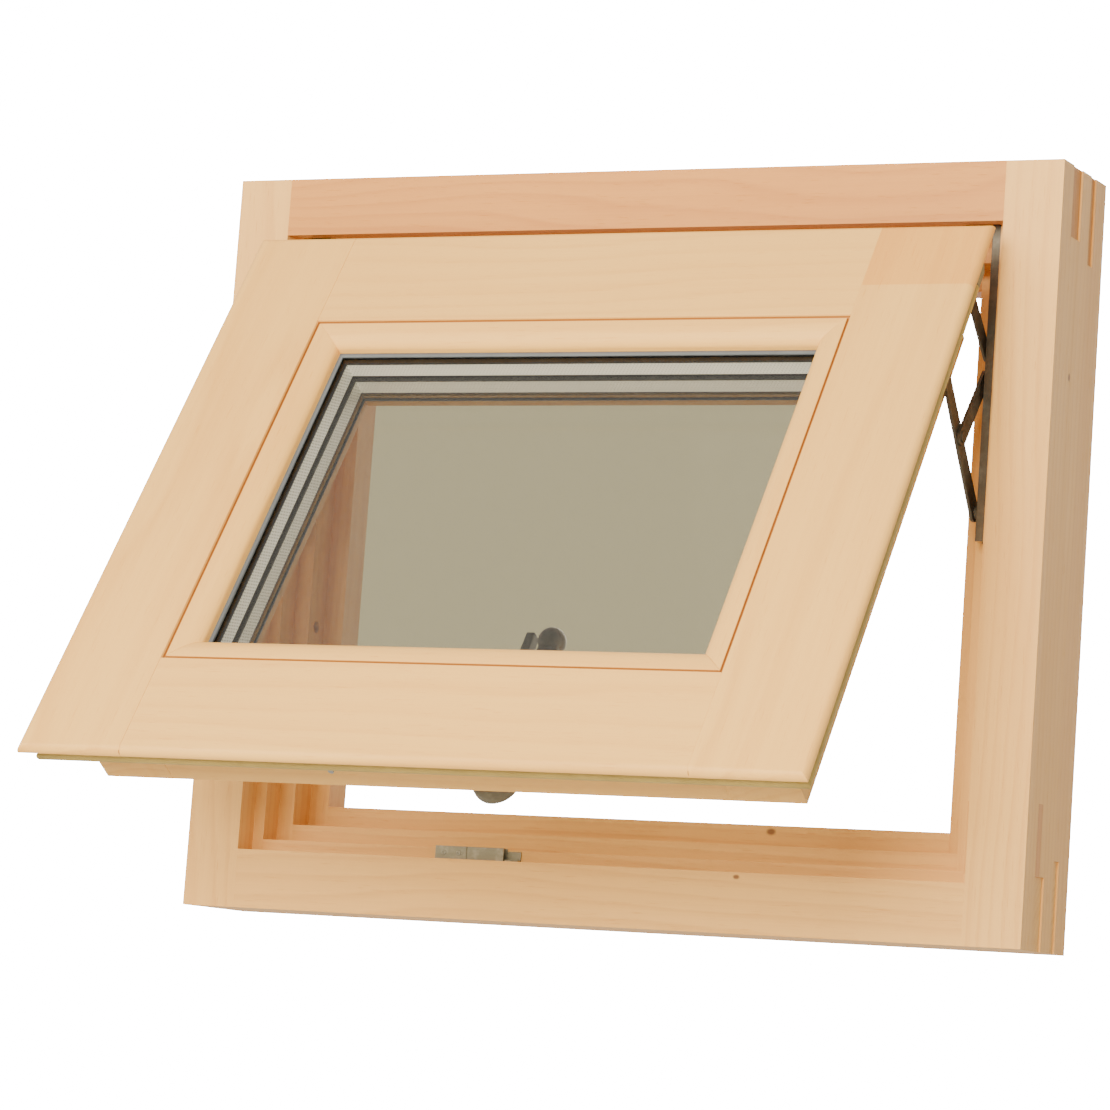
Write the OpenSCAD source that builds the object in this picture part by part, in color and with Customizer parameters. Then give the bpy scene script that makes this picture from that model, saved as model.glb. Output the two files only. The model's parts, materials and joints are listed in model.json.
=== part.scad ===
// Top-swing timber window: a stepped softwood frame and an outward opening sash
// with triple glazing, carried by a track, arm and link hinge on each side.
// Millimetres. X runs along the sill, +Y points into the room and +Z up.
// The origin is the centre of the frame's underside.

/* [Frame] */
// Overall width of the frame
frame_w = 590; // [580:1:620]
// Overall height of the frame
frame_h = 490; // [480:1:520]
// Depth of the frame from outside face to room face
frame_d = 80; // [78:1:84]
// Width of the frame members on the outside face
frame_face = 38.5; // [38:0.5:42]

/* [Sash] */
// Width of the sash's front slab
sash_w = 521; // [519:1:522]
// Height of the sash from its top line to the slab's bottom edge
sash_h = 432; // [430:1:434]
// How far the front slab stands above the sash's top line
top_lip = 5; // [3:0.5:6]
// Thickness of the front slab that laps over the frame
slab_t = 9; // [8:0.5:9]
// Depth of the whole sash
sash_d = 62; // [60:1:63]
// Width from the slab's edge to the quirk beside the glass moulding
quirk_a = 73; // [70:1:76]
// Width from the slab's edge to the edge of the visible glass
sight_a = 92; // [90:1:95]

/* [Opening] */
// How far the sash is swung open, in degrees
open_angle = 33.5; // [20:0.1:36]

/* [Glazing] */
// Thickness of each pane
pane_t = 4; // [3:1:4]
// Width of the gas space between two panes
space_t = 12; // [10:1:12]

/* [Handle] */
// Length of the crank arm between its hub and its knob
crank_len = 105; // [90:1:112]
// Radius of the crank's hub
hub_r = 15; // [12:0.5:15]
// Radius of the knob at the end of the crank arm
knob_r = 9; // [8:0.5:9]

/* [Hidden] */
$fn = 48;
e = 0.01;

// Frame steps, counted inward from the outside face
step_y = [18.5, 36.2, 57.4];
step_a = [8, 11.5, 14.2];
open_a = [frame_face, frame_face + step_a[0], frame_face + step_a[0] + step_a[1],
          frame_face + step_a[0] + step_a[1] + step_a[2]];
half_w = frame_w / 2;
front_y = -frame_d / 2;

// Frame comb joints: two open tenons at each end of the head and of the sill
tenon_y = [18.6, 52];
tenon_t = [16.8, 9];
tenon_a = [45.5, 57];
tenon_short = 1.2;

// Frame fixing holes, bored from the inside; the screw itself breaks out at the back
fix_z = [192, 400];
fix_y = 47;
fix_r = 4;
fix_depth = 50;

// Sash section: the seal, then the seal and body insets at the sides, top and bottom,
// and the slab's rounded front arris and sloped back arris
seal_t = 12;
seal_w = 7.3;
side_in = [4.7, 26];
top_in = [14.3, 34.5];
bottom_in = [6.3, 28];
edge_r = 5;
back_cut = 3.5;
half_s = sash_w / 2;
past_member = sight_a + 30;

// The quirk's depth, and where the moulding starts beside it and below the face
quirk_t = 2.6;
ovolo_a = quirk_a + 2.4;
ovolo_drop = 0.8;

// Glass pocket
pocket_a = 76;
lip_t = 12.2;
tape_t = 2;
glass_a = 80;
glass_t0 = lip_t + tape_t;
glass_t1 = glass_t0 + 3 * pane_t + 2 * space_t;
wedge_t1 = glass_t1 + tape_t;
spacer_a = 89;
spacer_h = 6.5;

// Hinge: the track line, the fixed pivot and the pin places
track_y = 27;
track_w = 14;
track_d = 6.2;
track_wall = 1.5;
track_screw_z = [259, 406, 444];
track_z0 = 252;
track_z1 = 456;
pivot_z = 271;
arm_len = 122.07;
link_len = 54.59;
pin_gap = 15.68;
guide_len = 52.84;
pin_r = 2.5;
pin_fit = 0.06;
shoe = [3.6, 10];
shoe_end = 10;
boss_r = 4.2;
rivet_r = 3.6;
arm_pin = [72.5, 25.08];
guide_pin = [16.9, 33.57];
plate_mid = 31.5;
plate_screw_v = [40, 57, 86];
plate_screw_r = 1.7;
plate_w = 20;
plate_v = [30, 92];
tab_r = 6.5;
tab_v = 36;
guide_pin_r = 2.2;
guide_hole_r = 4.6;
block_v = [14.8, 19, 33];
block_t = [7, 11.3];
hinge_x = half_w - open_a[1];

// Room for each hinge: in the head, as a size, depth and inset, and in the sash stile
head_room = [24, 26, 20];
head_room_y = 11;
head_room_z = 28;
arm_room = [15, 10, 72];
arm_room_t = 17;
arm_room_v = 126;

// Lean of the long arms and of the guide arms: their lean when shut, plus their share
arm_angle = 5.51 + 0.99209 * open_angle;
guide_angle = 3.503 + 1.29776 * open_angle;
arm_t = 2;
plate_t = 2;
body_x = half_s - side_in[1];
plate_x = body_x + plate_t;
arm_x = plate_x + 0.4;
link_x = arm_x + arm_t + 0.3;

// The moving pins in turn, then where the slab's top edge stands, found from the arm
pin_y = front_y + track_y - arm_len * sin(arm_angle);
pin_z = pivot_z + arm_len * cos(arm_angle);
sash_y = pin_y + arm_pin[0] * sin(open_angle) - arm_pin[1] * cos(open_angle);
sash_z = pin_z + arm_pin[0] * cos(open_angle) + arm_pin[1] * sin(open_angle);
rivet_y = front_y + track_y - link_len * sin(arm_angle);
rivet_z = pivot_z + link_len * cos(arm_angle);
slider_z = pivot_z + 2 * link_len * cos(arm_angle);
guide_z = slider_z + pin_gap;

// Handle and lock, in the sash's own places: across, down and inward
handle_u = 8;
handle_v = 368;
rose_t = 7;
neck_r = 8;
crank_t0 = 92;
crank_t1 = 105;
spindle_w = 7;
grip_t = 10;
tip_w = 14;
tip_v = handle_v - crank_len;
catch_v = tip_v + 16;
catch_w = 6;
catch_len = 27;
rose_size = [28, 34];
rose_screw_v = 12.5;
rose_screw_r = 1.9;
lock_t = 38;
case_size = [48, 16, 37.5];
case_up = 7;
case_fit = 0.5;
face_size = [113, 12, 1.8];
face_left = 32;
rod_size = [57, 10, 3];
rod_up = 2.2;
rod_run = 18;
finger_w = 6;
bolt_t = 24.8;
bolt_u = -55;
bolt_r = 1.9;
bolt_v1 = 422.5;
rail_v1 = sash_h - bottom_in[1];

// Keeper on the sill
keeper_x = [-115.5, -66, -56];
keeper_y = [11.8, 13, 17.2, 18.4];
keeper_z = [frame_face + 0.1, 47.4, 45.6];
keeper_floor = 1.6;
keeper_screw_x = [keeper_x[0] + 6, keeper_x[0] + 17];
keeper_screw_z = keeper_z[0] + 4.5;
keeper_screw_r = 1.6;
keeper_line_x = keeper_x[0] + 22.6;

wood = "BurlyWood";
wood_light = "Wheat";
steel = "DimGray";

// ---- Placing ----

// Depth counted from the frame's outside face
module from_front() {
    translate([0, front_y, 0]) children();
}

// The sash's own places: x across, y inward from its face, z up from its top edge
module in_sash() {
    translate([0, sash_y, sash_z]) rotate([-open_angle, 0, 0]) children();
}

// Extrudes a section drawn as [inset, depth] upward, for a member on the left
module upright(z0, z1) {
    translate([0, 0, z0]) linear_extrude(height = z1 - z0) children();
}

// Extrudes a section drawn as [inset, depth] along X, with the inset running up
module level_up(length) {
    translate([-length / 2, 0, 0]) rotate([90, 0, 90])
        linear_extrude(height = length) mirror([1, -1]) children();
}

module ring(w, h, wall) {
    difference() {
        square([w, h], center = true);
        square([w - 2 * wall, h - 2 * wall], center = true);
    }
}

// A flat frame round the glass, from inset a0 to inset a1 and depth t0 to t1
module sash_ring(a0, a1, t0, t1) {
    translate([0, t0, -sash_h / 2]) rotate([-90, 0, 0])
        linear_extrude(height = t1 - t0) ring(sash_w - 2 * a0, sash_h - 2 * a0, a1 - a0);
}

// ---- Frame ----

module frame_section() {
    polygon([[0, 0], [open_a[0], 0], [open_a[0], step_y[0]], [open_a[1], step_y[0]],
        [open_a[1], step_y[1]], [open_a[2], step_y[1]], [open_a[2], step_y[2]],
        [open_a[3], step_y[2]], [open_a[3], frame_d], [0, frame_d]]);
}

// The two tenons of a rail drawn at the bottom, or their slots with out and down above 0
module tenons(out, down) {
    for (i = [0, 1])
        translate([-half_w - out, tenon_y[i], -down])
            cube([frame_w + 2 * out, tenon_t[i], tenon_a[i] + down]);
}

module stile_blank() {
    translate([-half_w, 0, 0]) upright(0, frame_h) frame_section();
}

module frame_stile() {
    from_front() difference() {
        stile_blank();
        translate([0, 0, frame_h]) mirror([0, 0, 1]) tenons(1, 1);
        tenons(1, 1);
        for (z = fix_z)
            translate([-half_w + open_a[2] - fix_depth, fix_y, z]) rotate([0, 90, 0])
                cylinder(r = fix_r, h = open_a[3]);
    }
}

// The sill as it stands; the head is the same section turned over
module frame_rail() {
    difference() {
        level_up(frame_w) frame_section();
        stile_blank();
        mirror([1, 0, 0]) stile_blank();
    }
    tenons(-tenon_short, 0);
}

// Room in the head for the hinge's top end on each side
module hinge_pockets() {
    for (s = [-1, 1])
        translate([s * (hinge_x + 2 - head_room[0] / 2) - head_room[0] / 2, head_room_y, head_room_z])
            cube(head_room);
}

module frame_stile_left() {
    color(wood) frame_stile();
}

module frame_stile_right() {
    color(wood) mirror([1, 0, 0]) frame_stile();
}

module frame_head() {
    color(wood) from_front() translate([0, 0, frame_h]) mirror([0, 0, 1]) difference() {
        frame_rail();
        hinge_pockets();
    }
}

module frame_sill() {
    color(wood) from_front() frame_rail();
}

// ---- Sash timber ----

// The ovolo beside the glass: a quarter ellipse from the quirk to the glass line
function ovolo(n) = [for (i = [0 : n]) [ovolo_a + (sight_a - ovolo_a) * sin(90 * i / n),
    ovolo_drop + (slab_t - ovolo_drop) * (1 - cos(90 * i / n))]];

module sash_section(seal_in, body_in, lip) {
    difference() {
        polygon(concat([[-lip, 0], [quirk_a, 0], [quirk_a + 0.6, quirk_t], [quirk_a + 2, quirk_t]], ovolo(12),
            [[sight_a, lip_t], [pocket_a, lip_t], [pocket_a, sash_d], [body_in, sash_d],
            [body_in, slab_t + seal_t], [seal_in + seal_w, slab_t + seal_t],
            [seal_in + seal_w, slab_t], [-lip, slab_t]]));
        translate([-lip, 0]) edge_cut();
    }
}

// Takes a round off the slab's front corner at [0, 0] and a slope off its back corner
module edge_cut() {
    difference() {
        translate([-1, -1]) square(edge_r + 1);
        translate([edge_r, edge_r]) circle(r = edge_r);
    }
    polygon([[-1, slab_t - back_cut - 1], [back_cut + 1, slab_t + 1], [-1, slab_t + 1]]);
}

// Cuts the end of a member whose other face is drawn level, at the slab's edge
module end_rounding() {
    level_up(sash_w + 2) edge_cut();
}

// One stile, drawn with its outer edge at x = 0 and its foot at z = 0
module sash_stile_blank() {
    difference() {
        upright(0, sash_h + top_lip) sash_section(side_in[0], side_in[1], 0);
        translate([0, 0, sash_h]) stile_mitre();
        mirror([0, 0, 1]) stile_mitre();
        stile_ends();
    }
}

module stile_mitre() {
    translate([0, sash_d + 1, 0]) rotate([90, 0, 0]) linear_extrude(height = sash_d + 2)
        polygon([[quirk_a, top_lip + 1], [quirk_a, -quirk_a], [past_member, -past_member],
            [past_member, top_lip + 1]]);
}

// The stile's ends carry the slab, seal seat and body insets of the rails
module stile_ends() {
    end_step(bottom_in);
    translate([0, 0, sash_h]) mirror([0, 0, 1]) end_step(top_in);
    translate([half_s, 0, 0]) end_rounding();
    translate([half_s, 0, sash_h + top_lip]) mirror([0, 0, 1]) end_rounding();
}

module end_step(ins) {
    over = top_lip + 1;
    translate([-1, slab_t, -over]) cube([past_member, sash_d, ins[0] + seal_w + over]);
    translate([-1, slab_t + seal_t, -over]) cube([past_member, sash_d, ins[1] + over]);
}

// Clears the arm's end where it folds against the stile
module arm_recess() {
    translate([side_in[1] - arm_room[0] + e, arm_room_t, sash_h - arm_room_v]) cube(arm_room);
}

module sash_stile() {
    in_sash() translate([-half_s, 0, -sash_h]) difference() {
        sash_stile_blank();
        arm_recess();
    }
}

module sash_rail(ins, lip) {
    difference() {
        level_up(sash_w - 2 * quirk_a) sash_section(ins[0], ins[1], lip);
        for (s = [0, 1]) mirror([s, 0, 0])
            translate([-half_s, sash_d + 1, 0]) rotate([90, 0, 0]) linear_extrude(height = sash_d + 2)
                polygon([[quirk_a - 1, quirk_a], [quirk_a, quirk_a], [past_member, past_member],
                    [quirk_a - 1, past_member]]);
    }
}

module sash_stile_left() {
    color(wood_light) sash_stile();
}

module sash_stile_right() {
    color(wood_light) mirror([1, 0, 0]) sash_stile();
}

module sash_rail_top() {
    color(wood_light) in_sash() mirror([0, 0, 1]) sash_rail(top_in, top_lip);
}

module sash_rail_bottom() {
    color(wood_light) in_sash() difference() {
        translate([0, 0, -sash_h]) sash_rail(bottom_in, 0);
        lock_room();
    }
}

// Mortise for the lock case, groove for its rod and hole for the spindle
module lock_room() {
    room = case_size + 2 * case_fit * [1, 1, 0];
    groove = 8;
    run = rod_run + finger_w + 8;
    translate([handle_u - room[0] / 2, lock_t - room[1] / 2, -rail_v1 - 1])
        cube([room[0], room[1], case_up + room[2] + 2]);
    translate([bolt_u - face_left - 1, lock_t - face_size[1] / 2 - case_fit, -rail_v1 - 1])
        cube([face_size[0] + 2, face_size[1] + 2 * case_fit, groove + 1]);
    translate([bolt_u - rod_run - 7, slab_t + seal_t - 1, -rail_v1 - 1])
        cube([run, lock_t - slab_t - seal_t, groove + 1]);
    translate([handle_u, lock_t, -handle_v]) rotate([-90, 0, 0]) cylinder(r = neck_r - 1, h = sash_d);
}

// ---- Glazing ----

module pane(i) {
    t0 = glass_t0 + i * (pane_t + space_t);
    in_sash() translate([-half_s + glass_a, t0, -sash_h + glass_a])
        cube([sash_w - 2 * glass_a, pane_t, sash_h - 2 * glass_a]);
}

module spacer(i) {
    t0 = glass_t0 + pane_t + i * (pane_t + space_t);
    in_sash() sash_ring(spacer_a, spacer_a + spacer_h, t0, t0 + space_t);
}

module pane_outer() {
    color("LightCyan", 0.4) pane(0);
}

module pane_middle() {
    color("LightCyan", 0.4) pane(1);
}

module pane_inner() {
    color("LightCyan", 0.4) pane(2);
}

module spacer_outer() {
    color("Silver") spacer(0);
}

module spacer_inner() {
    color("Silver") spacer(1);
}

module edge_sealant() {
    color("DarkSlateGray") in_sash() for (i = [0, 1]) {
        t0 = glass_t0 + pane_t + i * (pane_t + space_t);
        sash_ring(glass_a, spacer_a, t0, t0 + space_t);
    }
}

module glazing_tape() {
    color("SlateGray") in_sash() sash_ring(pocket_a + 2, sight_a + 2.2, lip_t, glass_t0);
}

module glazing_wedge() {
    color("SlateGray") in_sash() sash_ring(pocket_a + 2, sight_a + 1.5, glass_t1, wedge_t1);
}

module setting_blocks() {
    color("Gray") in_sash() for (u = [-110, 50])
        translate([u, glass_t0 + 1, -sash_h + pocket_a])
            cube([60, glass_t1 - glass_t0 - 2, glass_a - pocket_a]);
}

// A glazing bead, mitred at both ends, drawn for a side of the given length
module bead(length) {
    far = sight_a - pocket_a;
    translate([0, sash_d, 0]) rotate([90, 0, 0]) linear_extrude(height = sash_d - wedge_t1)
        polygon([[-length / 2, 0], [length / 2, 0], [length / 2 - far, far], [-length / 2 + far, far]]);
}

module bead_bottom() {
    color(wood) in_sash() translate([0, 0, -sash_h + pocket_a]) bead(sash_w - 2 * pocket_a);
}

module bead_top() {
    color(wood) in_sash() translate([0, 0, -pocket_a]) mirror([0, 0, 1]) bead(sash_w - 2 * pocket_a);
}

module bead_left() {
    color(wood) in_sash() translate([-half_s + pocket_a, 0, -sash_h / 2]) rotate([0, 90, 0])
        bead(sash_h - 2 * pocket_a);
}

module bead_right() {
    color(wood) mirror([1, 0, 0]) in_sash() translate([-half_s + pocket_a, 0, -sash_h / 2])
        rotate([0, 90, 0]) bead(sash_h - 2 * pocket_a);
}

// ---- Seals ----

// A closed band between the side, top and bottom insets
module band(side, top, bottom, wall, t0, t1) {
    w = sash_w - 2 * side;
    h = sash_h - top - bottom;
    translate([0, t0, -top - h / 2]) rotate([-90, 0, 0])
        linear_extrude(height = t1 - t0) ring(w, h, wall);
}

module sash_seal() {
    waist = 1.3;
    waist_t0 = 5.2;
    waist_t1 = 6.4;
    color("DarkKhaki") in_sash() difference() {
        union() {
            band(side_in[0], top_in[0], bottom_in[0], seal_w, slab_t, slab_t + waist_t0);
            band(side_in[0] + waist, top_in[0] + waist, bottom_in[0] + waist, seal_w - waist,
                slab_t + waist_t0, slab_t + waist_t1);
            band(side_in[0] + 0.3, top_in[0] + 0.3, bottom_in[0] + 0.3, seal_w - 0.3,
                slab_t + waist_t1, slab_t + seal_t);
        }
        for (s = [-1, 1])
            translate([s * (half_s - 8), slab_t + 6, -top_in[0] - 9]) cube([13, 14, 20], center = true);
    }
}

module inner_seal() {
    color("DarkKhaki") in_sash()
        band(side_in[1] + 4, top_in[1] + 4, bottom_in[1] + 4, 4, sash_d, sash_d + 4.4);
}

// ---- Hinges, drawn for the right side and mirrored for the left ----

module to_side(s) {
    mirror([s < 0 ? 1 : 0, 0, 0]) children();
}

// A flat bar with round ends between two points given as [y, z]
module bar(p, q, r0, r1, x0, t) {
    translate([x0, 0, 0]) rotate([90, 0, 90]) linear_extrude(height = t) union() {
        translate(p) circle(r = r0);
        translate(q) circle(r = r1);
        d = q - p;
        n = norm(d);
        polygon([p + [-d[1], d[0]] * r0 / n, p + [d[1], -d[0]] * r0 / n,
            q + [d[1], -d[0]] * r1 / n, q + [-d[1], d[0]] * r1 / n]);
    }
}

module pin_x(p, r, x0, x1) {
    translate([x0, p[0], p[1]]) rotate([0, 90, 0]) cylinder(r = r, h = x1 - x0);
}

// The hole for a running pin through a strap that starts at x0
module pin_hole(p, x0) {
    pin_x(p, pin_r + pin_fit, x0 - 1, x0 + arm_t + 1);
}

pivot_p = [front_y + track_y, pivot_z];
arm_p = [pin_y, pin_z];
rivet_p = [rivet_y, rivet_z];
slide_p = [front_y + track_y, slider_z];
guide_p = [front_y + track_y, guide_z];
reach_p = guide_p + guide_len * [-sin(guide_angle), cos(guide_angle)];

// A channel let onto the stile, with the fixed pivot's boss and pin
module track(s) {
    color(steel) to_side(s) {
        from_front() difference() {
            translate([hinge_x - track_d, track_y - track_w / 2, track_z0])
                cube([track_d, track_w, track_z1 - track_z0]);
            translate([hinge_x - track_d - e, track_y - track_w / 2 + track_wall, track_z0 - 1])
                cube([track_d - track_wall + e, track_w - 2 * track_wall, track_z1 - track_z0 + 2]);
        }
        pin_x(pivot_p, boss_r, arm_x + arm_t + 0.3, hinge_x - track_wall);
        pin_x(pivot_p, pin_r, arm_x - 0.2, arm_x + arm_t + 0.4);
    }
}

module track_left() {
    track(-1);
}

module track_right() {
    track(1);
}

// Flat screw heads on the track's floor
module track_screws() {
    color("Silver") for (s = [-1, 1]) to_side(s) for (z = track_screw_z)
        translate([hinge_x - track_wall, front_y + track_y, z]) rotate([0, -90, 0])
            cylinder(r1 = 3.6, r2 = 3, h = 0.4);
}

module slider(s) {
    color("SlateGray") to_side(s) {
        translate([hinge_x - 5.6, front_y + track_y - shoe[1] / 2, slider_z - shoe_end])
            cube([shoe[0], shoe[1], pin_gap + 2 * shoe_end]);
        pin_x(slide_p, pin_r, link_x, hinge_x - 5);
        pin_x(guide_p, pin_r, link_x, hinge_x - 5);
    }
}

module slider_left() {
    slider(-1);
}

module slider_right() {
    slider(1);
}

// The long arm: a strap from the fixed pivot to the sash, with the rivet's hole part way
module arm(s) {
    color(steel) to_side(s) difference() {
        bar(pivot_p, arm_p, 6, 5, arm_x, arm_t);
        pin_hole(pivot_p, arm_x);
        pin_hole(arm_p, arm_x);
        pin_hole(rivet_p, arm_x);
    }
}

module arm_left() {
    arm(-1);
}

module arm_right() {
    arm(1);
}

// The link: a strap from the long arm to the slider, with its rivet
module link(s) {
    color(steel) to_side(s) {
        difference() {
            bar(rivet_p, slide_p, 5.5, 5, link_x, arm_t);
            pin_hole(slide_p, link_x);
        }
        pin_x(rivet_p, pin_r, arm_x - 0.3, link_x + 0.1);
        pin_x(rivet_p, rivet_r, link_x + arm_t, link_x + arm_t + 0.7);
    }
}

module link_left() {
    link(-1);
}

module link_right() {
    link(1);
}

// The guide arm: from the slider to the sash's top corner plate
module guide(s) {
    color(steel) to_side(s) {
        difference() {
            bar(guide_p, reach_p, 5, 5, link_x, arm_t);
            pin_hole(guide_p, link_x);
        }
        pin_x(reach_p, guide_pin_r, body_x + 0.3, link_x + 0.1);
    }
}

module guide_left() {
    guide(-1);
}

module guide_right() {
    guide(1);
}

// Plate on the stile's side with the long arm's pin and the guide arm's wide hole
module sash_plate(s) {
    color(steel) to_side(s) in_sash() difference() {
        union() {
            translate([body_x, plate_mid - plate_w / 2, -plate_v[1]])
                cube([plate_t, plate_w, plate_v[1] - plate_v[0]]);
            bar([guide_pin[1], -guide_pin[0]], [guide_pin[1], -tab_v], tab_r, tab_r, body_x, plate_t);
            pin_x([arm_pin[1], -arm_pin[0]], pin_r, body_x + plate_t - e, arm_x + arm_t + 0.2);
        }
        pin_x([guide_pin[1], -guide_pin[0]], guide_hole_r, body_x - 1, plate_x + 1);
        for (v = plate_screw_v)
            pin_x([plate_mid, -v], plate_screw_r + 0.1, body_x - 1, plate_x + 1);
    }
}

module sash_plate_left() {
    sash_plate(-1);
}

module sash_plate_right() {
    sash_plate(1);
}

module sash_plate_screws() {
    color("Silver") for (s = [-1, 1]) to_side(s) in_sash() for (v = plate_screw_v)
        pin_x([plate_mid, -v], plate_screw_r, body_x, plate_x);
}

// A block in the gap of the seal at each top corner, that finds the frame on closing
module corner_guide(s) {
    color("DarkSeaGreen") to_side(s) in_sash()
        translate([half_s - side_in[0] - seal_w, 0, 0]) rotate([90, 0, 90])
            linear_extrude(height = seal_w - 0.3)
                polygon([[slab_t, -block_v[0]], [slab_t + block_t[0], -block_v[0]],
                    [slab_t + block_t[1], -block_v[1]], [slab_t + block_t[1], -block_v[2]],
                    [slab_t, -block_v[2]]]);
}

module corner_guide_left() {
    corner_guide(-1);
}

module corner_guide_right() {
    corner_guide(1);
}

// ---- Lock and handle ----

module keeper() {
    color("Silver") from_front() difference() {
        translate([keeper_x[0], keeper_y[0], keeper_z[0]])
            cube([keeper_x[1] - keeper_x[0], keeper_y[3] - keeper_y[0], keeper_z[1] - keeper_z[0]]);
        translate([keeper_line_x + 0.9, keeper_y[1], keeper_z[0] + keeper_floor])
            cube([60, keeper_y[2] - keeper_y[1], 20]);
        for (x = keeper_screw_x)
            translate([x, keeper_y[0] - 1, keeper_screw_z]) rotate([-90, 0, 0])
                cylinder(r = keeper_screw_r + 0.1, h = 10);
        translate([keeper_line_x, keeper_y[0] - 1, keeper_z[0] - 1]) cube([0.9, 1.5, 20]);
    }
}

module keeper_entry() {
    color("DimGray") from_front() {
        translate([keeper_x[1], keeper_y[2], keeper_z[0]])
            cube([keeper_x[2] - keeper_x[1], keeper_y[3] - keeper_y[2], keeper_z[2] - keeper_z[0]]);
        translate([keeper_x[1], keeper_y[1], keeper_z[0]])
            cube([keeper_x[2] - keeper_x[1], keeper_y[3] - keeper_y[1], keeper_floor]);
    }
}

module keeper_screws() {
    color("Silver") from_front() for (x = keeper_screw_x)
        translate([x, keeper_y[0] - 0.2, keeper_screw_z]) rotate([-90, 0, 0])
            cylinder(r = keeper_screw_r, h = keeper_y[3] - keeper_y[0]);
}

module lock_case() {
    color("Silver") in_sash() difference() {
        translate([handle_u - case_size[0] / 2, lock_t - case_size[1] / 2, -rail_v1 + case_up])
            cube(case_size);
        translate([handle_u, lock_t + 10, -handle_v]) rotate([90, 0, 0]) cylinder(r = 6.6, h = 14);
    }
}

module lock_faceplate() {
    color("Silver") in_sash() difference() {
        translate([bolt_u - face_left, lock_t - face_size[1] / 2, -rail_v1]) cube(face_size);
        translate([bolt_u - rod_run - 4.5, lock_t - 4, -rail_v1 - 1]) cube([rod_run + 9, 8, 4]);
    }
}

// The sliding rod above the faceplate, with the finger that carries the cam forward
module lock_rod() {
    color("LightGray") in_sash() {
        translate([bolt_u - 4, lock_t - rod_size[1] / 2, -rail_v1 + rod_up]) cube(rod_size);
        translate([bolt_u - finger_w / 2, bolt_t - 2.8, -rail_v1 + rod_up])
            cube([finger_w, lock_t - bolt_t, rod_size[2]]);
    }
}

module lock_cam() {
    color("LightGray") in_sash() translate([bolt_u, bolt_t, -bolt_v1])
        cylinder(r = bolt_r, h = bolt_v1 - rail_v1 + rod_up);
}

module handle_rose() {
    color("DarkOliveGreen") in_sash() difference() {
        translate([handle_u - rose_size[0] / 2, sash_d, -handle_v - rose_size[1] / 2])
            cube([rose_size[0], rose_t, rose_size[1]]);
        translate([handle_u, sash_d - 1, -handle_v]) rotate([-90, 0, 0])
            cylinder(r = neck_r + 0.1, h = rose_t + 2);
        for (s = [-1, 1])
            translate([handle_u, sash_d - 1, -handle_v + s * rose_screw_v]) rotate([-90, 0, 0])
                cylinder(r = rose_screw_r + 0.1, h = rose_t + 2);
    }
}

module rose_screws() {
    color("Silver") in_sash() for (s = [-1, 1])
        translate([handle_u, sash_d, -handle_v + s * rose_screw_v]) rotate([-90, 0, 0])
            cylinder(r = rose_screw_r, h = rose_t - 1);
}

module handle_spindle() {
    color("Silver") in_sash() translate([handle_u, lock_t, -handle_v]) translate(-spindle_w / 2 * [1, 1, 1])
        cube([spindle_w, sash_d - lock_t + 10, spindle_w]);
}

// Neck, hub and a tapering arm, bored square for the spindle
module crank_arm() {
    color("DarkOliveGreen") in_sash() difference() {
        union() {
            translate([handle_u, sash_d + 1, -handle_v]) rotate([-90, 0, 0])
                cylinder(r = neck_r, h = crank_t0 - sash_d);
            translate([handle_u, crank_t0, -handle_v]) rotate([-90, 0, 0])
                cylinder(r = hub_r, h = crank_t1 - crank_t0);
            translate([0, crank_t1, 0]) rotate([90, 0, 0]) linear_extrude(height = grip_t)
                polygon([[handle_u - hub_r + 1, -handle_v + 4], [handle_u + hub_r - 1, -handle_v + 4],
                    [handle_u + tip_w / 2, -tip_v], [handle_u - tip_w / 2, -tip_v]]);
        }
        translate([handle_u - spindle_w / 2, 0, -handle_v - spindle_w / 2])
            cube([spindle_w, sash_d + 10, spindle_w]);
        translate([handle_u - 2 * catch_w, crank_t1 - 7.5, -catch_v - 0.5]) cube([10, 6, 9]);
    }
}

// A ball with a flat that sits on the arm's end
module crank_knob() {
    color("DarkOliveGreen") in_sash() difference() {
        translate([handle_u, crank_t1 - grip_t / 2, -tip_v + 6.5]) sphere(r = knob_r);
        translate([handle_u - 20, crank_t0, -tip_v - 20]) cube([40, 40, 20]);
    }
}

// A finger beside the knob, with a tongue that slides in the crank arm
module release_catch() {
    color("DarkOliveGreen") in_sash() {
        translate([handle_u - 3 * catch_w, crank_t1 - 8.5, -catch_v]) cube([catch_w, 8, catch_len]);
        translate([handle_u - 2 * catch_w - 1, crank_t1 - 7, -catch_v]) cube([8, 5, 8]);
    }
}

frame_stile_left();
frame_stile_right();
frame_head();
frame_sill();
track_left();
track_right();
track_screws();
keeper();
keeper_entry();
keeper_screws();
sash_stile_left();
sash_stile_right();
sash_rail_top();
sash_rail_bottom();
pane_outer();
pane_middle();
pane_inner();
spacer_outer();
spacer_inner();
edge_sealant();
glazing_tape();
glazing_wedge();
setting_blocks();
bead_left();
bead_right();
bead_top();
bead_bottom();
sash_seal();
inner_seal();
corner_guide_left();
corner_guide_right();
sash_plate_left();
sash_plate_right();
sash_plate_screws();
lock_case();
lock_faceplate();
lock_rod();
lock_cam();
handle_rose();
rose_screws();
handle_spindle();
crank_arm();
crank_knob();
release_catch();
arm_left();
arm_right();
link_left();
link_right();
slider_left();
slider_right();
guide_left();
guide_right();
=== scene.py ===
import json
import math

import bmesh
import bpy
import numpy as np
from mathutils import Matrix, Vector


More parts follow.
